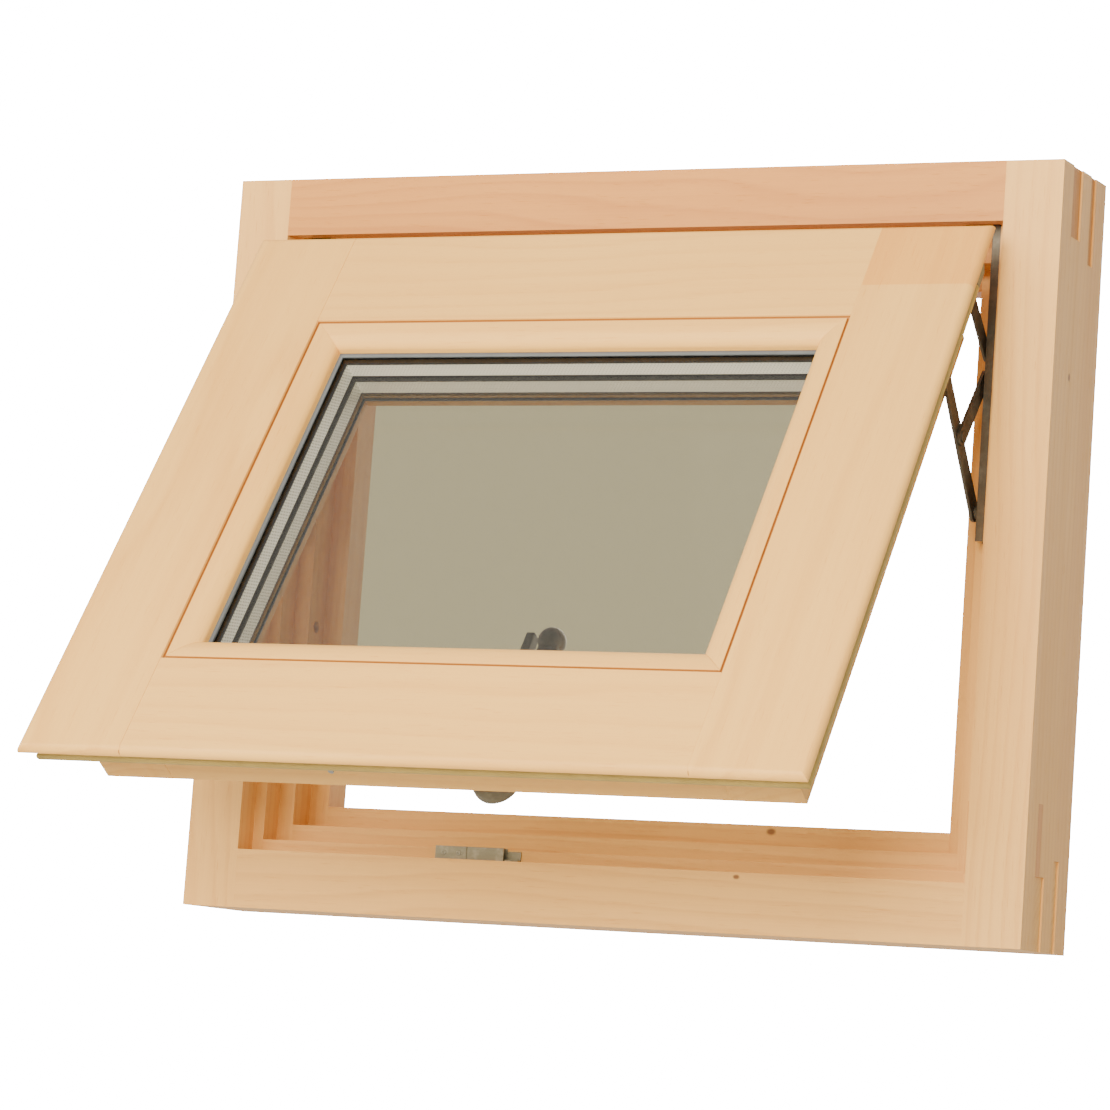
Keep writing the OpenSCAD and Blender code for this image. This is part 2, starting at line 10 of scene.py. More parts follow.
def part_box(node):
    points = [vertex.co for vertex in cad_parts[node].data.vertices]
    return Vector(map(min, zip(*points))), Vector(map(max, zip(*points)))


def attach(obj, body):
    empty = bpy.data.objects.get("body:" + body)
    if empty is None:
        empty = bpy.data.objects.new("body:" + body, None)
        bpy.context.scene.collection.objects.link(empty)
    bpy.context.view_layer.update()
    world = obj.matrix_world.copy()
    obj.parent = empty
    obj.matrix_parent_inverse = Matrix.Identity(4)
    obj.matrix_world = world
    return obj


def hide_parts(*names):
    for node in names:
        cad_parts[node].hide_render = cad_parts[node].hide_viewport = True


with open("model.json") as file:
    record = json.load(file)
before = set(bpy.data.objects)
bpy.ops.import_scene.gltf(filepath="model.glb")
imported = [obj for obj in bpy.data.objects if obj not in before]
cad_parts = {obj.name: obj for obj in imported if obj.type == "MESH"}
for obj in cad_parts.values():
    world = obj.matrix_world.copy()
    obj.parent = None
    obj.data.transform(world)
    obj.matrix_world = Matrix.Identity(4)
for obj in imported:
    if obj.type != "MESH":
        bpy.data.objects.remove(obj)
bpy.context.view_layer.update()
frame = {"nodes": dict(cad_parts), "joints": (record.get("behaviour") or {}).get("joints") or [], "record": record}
print("frame loaded")

mm = 0.001


# the sash's own places

def middleOf(node):
    low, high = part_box(node)
    return (np.array(low) + np.array(high)) / 2


def jointAxis(name):
    return np.array([j["axis"] for j in frame["joints"] if j["name"] == name][0], float)


inward = jointAxis("handle_turn")  # from the outer glass to the room, square to the sash
down = np.array([0.0, inward[2], -inward[1]])  # along the sash, away from its top line
sashTilt = math.atan2(-inward[2], inward[1])
paneCentre = {"v": 216.0, "t": 16.2}  # where the outer pane's middle is in the sash, in mm
sashTop = middleOf("pane_outer") - (down * paneCentre["v"] + inward * paneCentre["t"]) * mm


def sashPoints(u, v, t):
    # u across, v down from the top line and t inward from the face, in mm:
    # the point is sashTop + u X + v down + t inward
    u, v, t = np.broadcast_arrays(np.asarray(u, float), v, t)
    return sashTop + (u[..., None] * np.array([1.0, 0, 0]) + v[..., None] * down
                      + t[..., None] * inward) * mm


def worldPoints(x, y, z):
    x, y, z = np.broadcast_arrays(np.asarray(x, float), y, z)
    return np.stack([x, y, z], -1) * mm


def meshFrom(name, points, faces):
    mesh = bpy.data.meshes.new(name)
    mesh.from_pydata(points.reshape(-1, 3).tolist(), [], faces.tolist())
    mesh.update()
    return mesh


def gridFaces(rows, columns):
    # the quads of a rows x columns grid, whose last column joins its first
    r, c = np.meshgrid(np.arange(rows - 1), np.arange(columns), indexing="ij")
    n = (c + 1) % columns
    return np.stack([r * columns + c, r * columns + n, (r + 1) * columns + n, (r + 1) * columns + c],
                    -1).reshape(-1, 4)


def surface(name, grids):
    # one object from several grids whose rows are rings of points: the first and last rings
    # either are single points or lie on each other, so every grid is closed
    mesh = bmesh.new()
    for points in grids:
        rows, columns = points.shape[:2]
        part = meshFrom(name, points, gridFaces(rows, columns))
        mesh.from_mesh(part)
        bpy.data.meshes.remove(part)
    bmesh.ops.remove_doubles(mesh, verts=mesh.verts, dist=2e-6)
    bmesh.ops.dissolve_degenerate(mesh, edges=mesh.edges, dist=1e-7)
    bmesh.ops.recalc_face_normals(mesh, faces=mesh.faces)
    done = bpy.data.meshes.new(name)
    mesh.to_mesh(done)
    mesh.free()
    done.shade_smooth()
    made = bpy.data.objects.new(name, done)
    bpy.context.collection.objects.link(made)
    return made


def turned(profile, sides):
    # a profile of (radius, height) turned round its axis: (r cos a, r sin a, h)
    angle = np.linspace(0, 2 * math.pi, sides, endpoint=False)
    profile = np.asarray(profile, float)
    radius, height = profile[:, 0, None], profile[:, 1, None]
    return radius * np.cos(angle), radius * np.sin(angle), height + 0 * angle


def finishPiece(made, body, slotName, material, *nodes):
    made.data.materials.clear()
    made.data.materials.append(material)
    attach(made, body)
    if nodes:
        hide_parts(*nodes)
    return made


easeLook = {"mergeWithin": 4e-6, "flatWithin": 0.6, "arrisOver": 32, "normalWeight": 80}


def easedCopy(node, width, segments=2):
    # the node's own shape with its loose triangles merged and its arrises eased by width in mm
    mesh = bmesh.new()
    mesh.from_mesh(frame["nodes"][node].data)
    bmesh.ops.remove_doubles(mesh, verts=mesh.verts, dist=easeLook["mergeWithin"])
    bmesh.ops.dissolve_limit(mesh, angle_limit=math.radians(easeLook["flatWithin"]),
                             verts=mesh.verts, edges=mesh.edges)
    done = bpy.data.meshes.new(node + "_eased")
    mesh.to_mesh(done)
    mesh.free()
    done.shade_smooth()
    made = bpy.data.objects.new(node + "_eased", done)
    bpy.context.collection.objects.link(made)
    bevel = made.modifiers.new("edges", "BEVEL")
    bevel.width = width * mm
    bevel.segments = segments
    bevel.limit_method = "ANGLE"
    bevel.angle_limit = math.radians(easeLook["arrisOver"])
    bevel.use_clamp_overlap = True
    normals = made.modifiers.new("normals", "WEIGHTED_NORMAL")
    normals.weight = easeLook["normalWeight"]
    return made


def linear(red, green, blue):
    # screen values from 0 to 255 as linear light
    value = np.array([red, green, blue]) / 255.0
    value = np.where(value <= 0.04045, value / 12.92, ((value + 0.055) / 1.055) ** 2.4)
    return (*value.tolist(), 1.0)


class Signal:
    # a number in a finish; each operator adds one Math node
    def __init__(self, finish, socket):
        self.finish, self.socket = finish, socket

    def maths(self, operation, *values):
        return self.finish.node("Math", {"operation": operation}, dict(enumerate(values)))

    def __add__(self, other):
        return self.maths("ADD", self, other)

    __radd__ = __add__

    def __sub__(self, other):
        return self.maths("SUBTRACT", self, other)

    def __rsub__(self, other):
        return self.maths("SUBTRACT", other, self)

    def __mul__(self, other):
        return self.maths("MULTIPLY", self, other)

    __rmul__ = __mul__

    def __truediv__(self, other):
        return self.maths("DIVIDE", self, other)

    def __rtruediv__(self, other):
        return self.maths("DIVIDE", other, self)

    def __pow__(self, other):
        return self.maths("POWER", self, other)

    def __gt__(self, other):
        return self.maths("GREATER_THAN", self, other)

    def __lt__(self, other):
        return self.maths("LESS_THAN", self, other)

    def applied(self, operation):
        # an operation on this number alone, such as its fraction or its sine
        return self.maths(operation, self)

    def clamped(self):
        return self.finish.node("Clamp", {}, {0: self})

    def between(self, low, high):
        # 0 below low, 1 above high, smooth in between
        return self.finish.node("MapRange", {"interpolation_type": "SMOOTHSTEP"},
                                {"Value": self, "From Min": low, "From Max": high})


class Finish:
    # one material, or the world; node() adds any node and gives back one of its outputs
    def __init__(self, name, group=bpy.data.materials):
        self.material = group.new(name)
        self.material.use_nodes = True
        self.tree = self.material.node_tree
        self.tree.nodes.clear()

    def node(self, kind, settings, sockets, output=0):
        made = self.tree.nodes.new("ShaderNode" + kind)
        for key, value in settings.items():
            if key == "stops":
                ramp = made.color_ramp
                while len(ramp.elements) < len(value):
                    ramp.elements.new(0.5)
                for element, (place, level) in zip(ramp.elements, value):
                    element.position = place
                    element.color = (level, level, level, 1.0)
            else:
                setattr(made, key, value)
        for key, value in sockets.items():
            if isinstance(value, Signal):
                self.tree.links.new(value.socket, made.inputs[key])
            else:
                made.inputs[key].default_value = value
        return Signal(self, made.outputs[output]) if made.outputs else None

    def blend(self, share, first, second, how="MIX"):
        return self.node("Mix", {"data_type": "RGBA", "blend_type": how},
                         {0: share, 6: first, 7: second}, output=2)

    def objectPlace(self, tilt=0.0):
        place = self.node("TexCoord", {}, {}, output=3)
        if tilt:
            place = self.node("Mapping", {"vector_type": "POINT"},
                              {"Vector": place, "Rotation": (tilt, 0, 0)})
        return place

    def parts(self, place):
        split = self.node("SeparateXYZ", {}, {0: place})
        return [Signal(self, output) for output in split.socket.node.outputs]

    def point(self, x, y, z):
        return self.node("CombineXYZ", {}, {0: x, 1: y, 2: z})

    def noise(self, place, scale, detail=2.0, roughness=0.5):
        return self.node("TexNoise", {}, {"Vector": place, "Scale": scale, "Detail": detail,
                                          "Roughness": roughness})

    def bump(self, height, distance, strength=1.0):
        return self.node("Bump", {}, {"Height": height, "Distance": distance, "Strength": strength})

    def surface(self, **sockets):
        names = {"colour": "Base Color", "roughness": "Roughness", "metallic": "Metallic",
                 "normal": "Normal", "coat": "Coat Weight", "coatRoughness": "Coat Roughness",
                 "specular": "Specular IOR Level"}
        shader = self.node("BsdfPrincipled", {}, {names[key]: value for key, value in sockets.items()})
        self.node("OutputMaterial", {}, {0: shader})
        return self.material


# each pattern's scale along and across the grain, and which of its three numbers the seed moves
grainLook = {"slow": (2.1, 9.0, (1, 0, 1)), "waver": (9.0, 60.0, (1, 0, 0)),
             "fibre": (14.0, 900.0, (1, 0, 0)), "streak": (3.0, 110.0, (1, 0, 0)),
             "cloud": (5.0, 16.0, (0, 1, 0)), "pores": (60.0, 1500.0, (0, 0, 1)),
             "rings": [(0.0, 0.0), (0.5, 0.18), (0.86, 1.0), (1.0, 0.0)],
             "wobble": 0.030, "waverDepth": 0.0035, "knotPush": 0.004, "knotShare": 0.85,
             "knotColour": linear(112, 66, 34), "blockEdge": 0.0003}


def softwood(name, look):
    # growth rings are shells round a pith line that runs along the piece:
    # ring = fraction of (distance from the pith + slow wobble) / ring width
    made = Finish(name)
    x, y, z = made.parts(made.objectPlace(look.get("tilt", 0.0)))
    along, first, second = {"x": (x, z, y), "z": (z, x, y)}[look["grain"]]
    shift = look["seed"] * 0.371

    def pattern(kind, detail, roughness=0.5):
        lengthwise, crosswise, moved = grainLook[kind]
        place = made.point(along * lengthwise + shift * moved[0], first * crosswise + shift * moved[1],
                           second * crosswise + shift * moved[2])
        return made.noise(place, 1.0, detail, roughness)

    slow, waver = pattern("slow", 2.0), pattern("waver", 2.0)
    fibre, streak = pattern("fibre", 3.0, 0.6), pattern("streak", 3.0, 0.55)
    cloud = pattern("cloud", 2.0).between(0.35, 0.75)
    pores = pattern("pores", 1.0).between(0.67, 0.75)
    knotMask = None
    across = second if look.get("knotsOnSide") else first
    for along0, across0, size in look.get("knots", []):
        far = (((along - along0) / (size * 1.5)) ** 2.0 + ((across - across0) / size) ** 2.0) ** 0.5
        mask = 1.0 - far.between(0.35, 1.0)
        knotMask = mask if knotMask is None else knotMask.maths("MAXIMUM", knotMask, mask)
    pith = look["pith"]
    radial = ((first - pith[0]) ** 2.0 + (second - pith[1]) ** 2.0) ** 0.5
    radial = (radial + (slow - 0.5) * look.get("wobble", grainLook["wobble"])
              + (waver - 0.5) * grainLook["waverDepth"])
    if knotMask is not None:
        radial = radial + knotMask * grainLook["knotPush"]
    ring = made.node("ValToRGB", {"stops": grainLook["rings"]},
                     {0: (radial / look["ringWidth"]).applied("FRACT")})
    share = (ring * look["ringDepth"] + (streak - 0.42) * look.get("streakDepth", 0.5)
             + (fibre - 0.5) * 0.35).clamped()
    colour = made.blend(share, look["light"], look["dark"])
    colour = made.blend(cloud * 0.35, colour, look["blush"])
    colour = made.blend(pores * 0.22, colour, look["dark"], "MULTIPLY")
    soft = grainLook["blockEdge"]
    for part in look.get("blocks", []):
        axes = {"along": along, "first": first, "second": second}
        axis = axes[part.get("axis", "along")]
        inside = axis.between(part["from"] - soft, part["from"] + soft)
        if "to" in part:
            inside = inside * (1.0 - axis.between(part["to"] - soft, part["to"] + soft))
        if "only" in part:
            low, high = part["only"]
            other = axes[part["onlyAxis"]]
            inside = inside * (other > low) * (other < high)
        colour = made.blend(inside * part["share"], colour, part["colour"], "MULTIPLY")
    if knotMask is not None:
        colour = made.blend(knotMask * grainLook["knotShare"], colour, grainLook["knotColour"])
    height = fibre * 0.5 + ring * 0.3 + pores * -0.6
    return made.surface(colour=colour, roughness=0.46 + (streak - 0.5) * 0.12 + pores * 0.2,
                        normal=made.bump(height, 0.00012, 0.7), coat=0.06, coatRoughness=0.35,
                        specular=0.3)


def darkened(colour, share):
    return tuple(value * share for value in colour[:3]) + (1.0,)


def rubber(name, colour, roughness, speckle=0.25):
    # a dull moulded skin: fine speckle over broad patches, both a little darker
    made = Finish(name)
    place = made.objectPlace()
    fine = made.noise(place, 2200.0, 2.0)
    broad = made.noise(place, 60.0, 2.0)
    share = (fine.between(0.4, 0.75) * speckle + broad.between(0.3, 0.8) * 0.35).clamped()
    return made.surface(colour=made.blend(share, colour, darkened(colour, 0.62)),
                        roughness=roughness + (broad - 0.5) * 0.2,
                        normal=made.bump(fine, 0.00005, 0.5))


def metal(name, look):
    # brushed or tumbled metal: streaks are noise drawn out along one axis, wear is broad noise
    made = Finish(name)
    place = made.objectPlace(look.get("tilt", 0.0))
    stretched = made.node("Mapping", {"vector_type": "POINT"},
                          {"Vector": place, "Scale": look["stretch"]})
    brush = made.noise(stretched, 1.0, 3.0, 0.6)
    broad = made.noise(place, look.get("wearScale", 90.0), 3.0, 0.6)
    pits = made.noise(place, 1500.0, 1.0)
    wear = broad.between(0.45, 0.72)
    colour = made.blend(wear * look["wearShare"], look["colour"], look["worn"])
    colour = made.blend(brush.between(0.35, 0.8) * 0.22, colour, darkened(look["colour"], 0.6))
    return made.surface(colour=colour, metallic=look["metallic"],
                        roughness=look["roughness"] + (brush - 0.5) * 0.22 + wear * -0.06,
                        normal=made.bump(brush * 0.6 + pits * 0.4, 0.00006, 0.6))


def glazing(name, look):
    # clear sheet: light passes tinted, and the share that mirrors grows at low angles
    made = Finish(name)
    faint = made.noise(made.objectPlace(), 14.0, 1.0)
    facing = made.node("LayerWeight", {}, {"Blend": 0.5}, output=1)
    share = (facing ** 5.0 * 0.96 + 0.04) * look["mirror"]
    seeThrough = made.node("BsdfTransparent", {}, {"Color": look["tint"]})
    mirror = made.node("BsdfPrincipled", {}, {"Base Color": look["mirrorColour"], "Metallic": 1.0,
                                              "Roughness": faint * 0.02 + 0.02})
    sheet = made.node("MixShader", {}, {0: share, 1: seeThrough, 2: mirror})
    made.node("OutputMaterial", {}, {0: sheet})
    return made.material


paleSash = {"light": linear(240, 185, 99), "dark": linear(220, 157, 76), "blush": linear(238, 179, 92)}
paleFrame = {"light": linear(237, 182, 100), "dark": linear(206, 141, 70), "blush": linear(229, 169, 88)}
headPine = {"light": linear(211, 143, 66), "dark": linear(180, 108, 44), "blush": linear(201, 130, 56)}
# the turned space of the sash's timber: its depth y where the face lies, its height z at the top line
sashFace = inward @ sashTop
sashHead = -down @ sashTop


spacerLook = {"slots": 2600.0, "rows": 1900.0, "slotShare": 0.65, "metal": linear(238, 238, 230),
              "slot": linear(120, 120, 112), "butyl": linear(30, 31, 32), "pitch": 0.016}


def spacerMetal():
    # rolled aluminium with rows of fine slots: dots where sin(across) x sin(along) is high
    made = Finish("perforated spacer")
    place = made.objectPlace(sashTilt)
    x, y, z = made.parts(place)
    # the slots are counted along both x and z, so that they run round all four sides
    slots, rows = spacerLook["slots"], spacerLook["rows"]
    dots = (x * slots).applied("SINE") * (z * slots).applied("SINE")
    holes = (dots * (y * rows).applied("SINE")).between(0.12, 0.5)
    fine = made.noise(place, 700.0, 2.0)
    # the panes' middles are a pitch apart, and the butyl is the last 1 mm of a bar beside a pane
    turn = (y - (sashFace + paneCentre["t"] * mm)) / spacerLook["pitch"]
    butyl = ((turn.applied("FRACT") - 0.5) ** 2.0).between(0.095, 0.105)
    colour = made.blend(holes * spacerLook["slotShare"], spacerLook["metal"], spacerLook["slot"])
    colour = made.blend(butyl, colour, spacerLook["butyl"])
    return made.surface(colour=colour, metallic=(1.0 - butyl) * 0.2, roughness=0.38 + fine * 0.14,
                        normal=made.bump(1.0 - holes, 0.0002, 0.5))


# the groove beside the moulding: across the sash, down it from each end, and in from the face, in mm; its colour
# and share are painted shade laid in the groove
quirk = {"side": (184.8, 188.0), "end": (73.0, 75.8), "depth": (1.3, 3.6), "share": 0.9,
         "colour": linear(176, 142, 112)}
sashHeight = 432.0
cornerBlock = 48.0  # how far the darker block runs down the right stile


def quirkPaintedShade(low, high):
    # painted shade: the groove between two places across the grain, in metres, is darkened where its shadow falls
    front, back = quirk["depth"]
    return {"axis": "second", "from": sashFace + front * mm, "to": sashFace + back * mm,
            "only": (low, high), "onlyAxis": "first", "share": quirk["share"], "colour": quirk["colour"]}


def quirkBeside(s):
    return quirkPaintedShade(*sorted(s * side * mm for side in quirk["side"]))


def quirkBelow(*drops):
    return quirkPaintedShade(*sorted(sashHead - drop * mm for drop in drops))


def sashTimber(grain, seed, pith, ringWidth, ringDepth, **more):
    return dict(paleSash, grain=grain, tilt=sashTilt, seed=seed, pith=pith, ringWidth=ringWidth,
                ringDepth=ringDepth, **more)


def beadTimber(grain, seed, pith):
    return dict(paleFrame, grain=grain, tilt=sashTilt, seed=seed, pith=pith, ringWidth=0.005,
                ringDepth=0.4)


woods = {
    "frame_stile_left": dict(paleFrame, grain="z", seed=1, pith=(-0.31, 0.09), ringWidth=0.0052,
                             ringDepth=0.30),
    "frame_stile_right": dict(
        paleFrame, grain="z", seed=2, pith=(0.34, -0.11), ringWidth=0.0060, ringDepth=0.28,
        knots=[(0.357, -0.010, 0.0024)], knotsOnSide=True,
        blocks=[{"axis": "second", "from": -0.0215, "to": -0.0135, "only": (0.045, 0.090),
                 "onlyAxis": "along", "share": 0.6, "colour": linear(214, 170, 128)},
                {"axis": "second", "from": 0.0120, "share": 0.25, "colour": linear(232, 214, 196)}]),
    "frame_head": dict(headPine, grain="x", seed=3, pith=(0.41, -0.16), ringWidth=0.0048,
                       ringDepth=0.34, wobble=0.045),
    "frame_sill": dict(paleFrame, grain="x", seed=4, pith=(-0.06, 0.10), ringWidth=0.0056,
                       ringDepth=0.30, knots=[(0.101, 0.068, 0.003), (0.104, 0.0355, 0.002)]),
    # the sash pieces' quirk blocks darken the groove beside the moulding with painted shade
    "sash_stile_left": sashTimber("z", 5, (-0.19, -0.03), 0.0075, 0.42, streakDepth=0.8,
                                  blocks=[quirkBeside(-1)]),
    "sash_stile_right": sashTimber(
        "z", 6, (0.30, 0.02), 0.0085, 0.30, streakDepth=0.7,
        blocks=[{"from": sashHead - cornerBlock * mm, "share": 0.8, "colour": linear(246, 226, 200)},
                quirkBeside(1)]),
    "sash_rail_top": sashTimber("x", 7, (0.44, -0.10), 0.0080, 0.28, blocks=[quirkBelow(*quirk["end"])]),
    "sash_rail_bottom": sashTimber(
        "x", 8, (0.00, -0.20), 0.0085, 0.26,
        blocks=[quirkBelow(*(sashHeight - end for end in quirk["end"]))]),
    "bead_left": beadTimber("z", 9, (-0.2, 0.05)),
    "bead_right": beadTimber("z", 10, (0.2, 0.05)),
    "bead_top": beadTimber("x", 11, (0.4, 0.05)),
    "bead_bottom": beadTimber("x", 12, (0.05, 0.05)),
}
steelLook = {"colour": linear(92, 85, 70), "worn": linear(122, 113, 96), "metallic": 0.6,
             "roughness": 0.42, "stretch": (900.0, 60.0, 60.0), "wearShare": 0.5}
finishes = {
    "glass": glazing("clear glass", {"tint": (0.93, 0.925, 0.905, 1.0), "mirror": 0.8,
                                     "mirrorColour": (0.80, 0.80, 0.76, 1.0)}),
    "spacer_metal": spacerMetal(),
    "sealant": rubber("black sealant", linear(26, 27, 28), 0.55),
    "glazing_rubber": rubber("grey glazing rubber", linear(96, 101, 104), 0.62),
    "grey_plastic": rubber("packer plastic", linear(120, 122, 124), 0.45),
    "seal_khaki": rubber("khaki seal", linear(196, 166, 82), 0.5, 0.15),
    "nylon": rubber("grey green nylon", linear(98, 106, 86), 0.42, 0.2),
    "hinge_steel": metal("dark hinge steel", steelLook),
    "slider_metal": metal("slider alloy", dict(steelLook, colour=linear(120, 118, 108),
                                               worn=linear(160, 156, 144))),
    "screw_steel": metal("plated screw", {
        "colour": linear(148, 143, 122), "worn": linear(176, 170, 148), "metallic": 1.0,
        "roughness": 0.34, "stretch": (400.0, 400.0, 400.0), "wearShare": 0.4}),
    "keeper_zinc": metal("cast zinc", {
        "colour": linear(140, 134, 110), "worn": linear(172, 163, 136), "metallic": 0.8,
        "roughness": 0.46, "stretch": (60.0, 700.0, 700.0), "wearShare": 0.6, "wearScale": 160.0}),
    "lock_steel": metal("plated lock steel", {
        "colour": linear(168, 166, 158), "worn": linear(200, 196, 184), "metallic": 1.0,
        "roughness": 0.36, "tilt": sashTilt, "stretch": (50.0, 900.0, 900.0), "wearShare": 0.4}),
    "handle_paint": metal("olive bronze paint", {
        "colour": linear(112, 103, 80), "worn": linear(138, 128, 102), "metallic": 0.35,
        "roughness": 0.38, "tilt": sashTilt, "stretch": (500.0, 500.0, 500.0), "wearShare": 0.45,
        "wearScale": 120.0}),
}
timbers = {node: softwood(node.replace("_", " ") + " wood", look) for node, look in woods.items()}
print("finishes made")

record = frame["record"]
bodyOf = {node: body for body, members in record["behaviour"]["bodies"].items() for node in members}
slotOf = {part["node"]: part["material_slot"] for part in record["subparts"]}


def dressNode(node):
    target = frame["nodes"][node]
    target.data.materials.clear()
    target.data.materials.append(timbers.get(node) or finishes[slotOf[node]])


for node in frame["nodes"]:
    dressNode(node)


# timber, with every arris eased, by these widths in mm

easing = {"frame": 0.9, "sash": 0.7, "bead": 0.8}
for node in woods:
    piece = easedCopy(node, easing[node.split("_")[0]])
    finishPiece(piece, bodyOf[node], slotOf[node], timbers[node], node)
print("timber shaped")


# hinge straps, keeper and lock, with eased edges; a name that is no node stands for a left and a right one

metalEasing = {"track": 0.3, "arm": 0.35, "link": 0.35, "guide": 0.35, "sash_plate": 0.35, "slider": 0.5,
               "keeper": 0.5, "keeper_entry": 0.4, "corner_guide": 0.8, "handle_rose": 2.2,
               "lock_faceplate": 0.4, "release_catch": 1.4}
for name, width in metalEasing.items():
    for node in [name] if name in bodyOf else [name + "_left", name + "_right"]:
        piece = easedCopy(node, width, 3)
        finishPiece(piece, bodyOf[node], slotOf[node], finishes[slotOf[node]], node)
print("hinges and lock shaped")


# seals and gaskets, each a profile of (offset, depth) carried round the sash

sealLook = {"side": 255.8, "top": 14.3, "bottom": 425.7, "gapEnd": 33.4, "topEnd": 246.0, "hem": 0.5,
            "cornerRun": 20,
            "profile": [(0.25, 9.0), (0.0, 10.0), (0.0, 13.0), (0.5, 13.9), (1.7, 14.5), (1.8, 14.9),
                        (0.9, 15.5), (0.2, 16.2), (0.0, 17.4), (0.1, 19.4), (0.6, 20.5), (1.5, 20.95),
                        (6.6, 20.95), (7.2, 20.5), (7.3, 19.8), (7.3, 9.0)]}
roomSealLook = {"side": 230.5, "top": 38.5, "bottom": 400.0}
glassLook = {"side": 182.5, "top": 78.0, "bottom": 354.0}
outerGasket = [(0, 12.2), (15.2, 12.2), (15.9, 12.5), (16.2, 13.1), (16.2, 14.2), (0, 14.2)]
innerGasket = [(0, 54.2), (15.5, 54.2), (15.5, 55.2), (15.1, 55.8), (14.4, 56.1), (0, 56.2)]


def withEnds(rings):
    # the first and the last ring are each closed by a ring that lies on its middle point
    first, last = (np.repeat(ring.mean(0)[None], len(ring), 0)[None] for ring in (rings[0], rings[-1]))
    return np.concatenate([first, rings, last])


def alongPath(stations, profile, ends):
    # a profile of (offset, depth) carried along stations (u, v, offset step in u, in v):
    # the point is (u + offset du, v + offset dv, depth); without ends the path joins itself
    stations, profile = np.asarray(stations, float), np.asarray(profile, float)
    u = stations[:, 0, None] + stations[:, 2, None] * profile[:, 0]
    v = stations[:, 1, None] + stations[:, 3, None] * profile[:, 0]
    points = sashPoints(u, v, profile[:, 1] + 0 * u)
    if ends:
        return withEnds(points)
    return np.concatenate([points, points[:1]])


def makeSashSeal():
    # one length runs down, under and up the other side, and one lies along the top
    side, low, gap, top, end = (sealLook[key] for key in ("side", "bottom", "gapEnd", "top", "topEnd"))
    hem, run = sealLook["hem"], sealLook["cornerRun"]
    lower = [(-side, gap, 1, 0), (-side, gap + hem, 1, 0), (-side, low - run, 1, 0), (-side, low, 1, -1),
             (-side + run, low, 0, -1), (side - run, low, 0, -1), (side, low, -1, -1),
             (side, low - run, -1, 0), (side, gap + hem, -1, 0), (side, gap, -1, 0)]
    upper = [(-end, top, 0, 1), (-end + hem, top, 0, 1), (end - hem, top, 0, 1), (end, top, 0, 1)]
    made = surface("sashSeal", [alongPath(lower, sealLook["profile"], True),
                                alongPath(upper, sealLook["profile"], True)])
    finishPiece(made, "sash", "seal_khaki", finishes["seal_khaki"], "sash_seal")


def fourSides(name, node, look, profile):
    # a ring round the sash with mitred corners
    side, top, bottom = look["side"], look["top"], look["bottom"]
    corners = [(-side, top, 1, 1), (-side, bottom, 1, -1), (side, bottom, -1, -1), (side, top, -1, 1)]
    made = surface(name, [alongPath(corners, profile, False)])
    finishPiece(made, "sash", slotOf[node], finishes[slotOf[node]], node)


def bulb(width, root, crown, count):
    # a full half round on the timber: (w/2 - w/2 cos a, root + (crown - root) (sin a)^0.8)
    angle = np.linspace(0, math.pi, count)
    height = root + (crown - root) * np.sin(angle) ** 0.8
    return np.stack([width / 2 - width / 2 * np.cos(angle), height], -1)


makeSashSeal()
fourSides("roomSeal", "inner_seal", roomSealLook, bulb(4.0, 62.0, 66.4, 15))
fourSides("outerGasket", "glazing_tape", glassLook, outerGasket)
fourSides("innerGasket", "glazing_wedge", glassLook, innerGasket)
print("seals made")


# screws and rivets: the cross in a head is in shares of its radius, with sloping sides

crossLook = {"arm": 0.15, "armSlope": 0.05, "reach": 0.62, "reachSlope": 0.08}


def headSurface(centre, axis, look, turn):
    # a low dome h = rise (1 - (r / R)^2) with a cross sunk in it, closed by its rim and foot
    rings = np.concatenate([[0.0], np.linspace(0.12, 1.0, 15)])
    angle = np.linspace(0, 2 * math.pi, 48, endpoint=False)
    r, a = np.meshgrid(rings, angle, indexing="ij")
    height = look["height"] + look["rise"] * (1 - r ** 2)
    if look["cross"]:
        first, second = np.abs(r * np.cos(a)), np.abs(r * np.sin(a))
        near, far = np.minimum(first, second), np.maximum(first, second)
        sunk = (np.clip((crossLook["arm"] - near) / crossLook["armSlope"], 0, 1)
                * np.clip((crossLook["reach"] - far) / crossLook["reachSlope"], 0, 1))
        height = height - sunk * look["sink"]
    r = np.concatenate([r, r[-1:], 0 * r[-1:]]) * look["radius"]
    height = np.concatenate([height, 0 * height[-1:], 0 * height[-1:]])
    a = np.concatenate([a, a[-1:], a[-1:]]) + turn
    axis = np.asarray(axis, float)
    side = np.cross(axis, [0.31, 0.27, 0.91])
    side /= np.linalg.norm(side)
    other = np.cross(axis, side)
    return np.asarray(centre) + ((r * np.cos(a))[..., None] * side + (r * np.sin(a))[..., None] * other
                                 + height[..., None] * axis) * mm


def screwsFor(name, node, body, places, look):
    rng = np.random.default_rng(len(name))
    grids = [headSurface(centre, axis, look, turn)
             for (centre, axis), turn in zip(places, rng.uniform(0, 3.1, len(places)))]
    slotName = slotOf.get(node, "hinge_steel")  # a rivet has no node of its own
    finishPiece(surface(name, grids), body, slotName, finishes[slotName], *([node] if node else []))


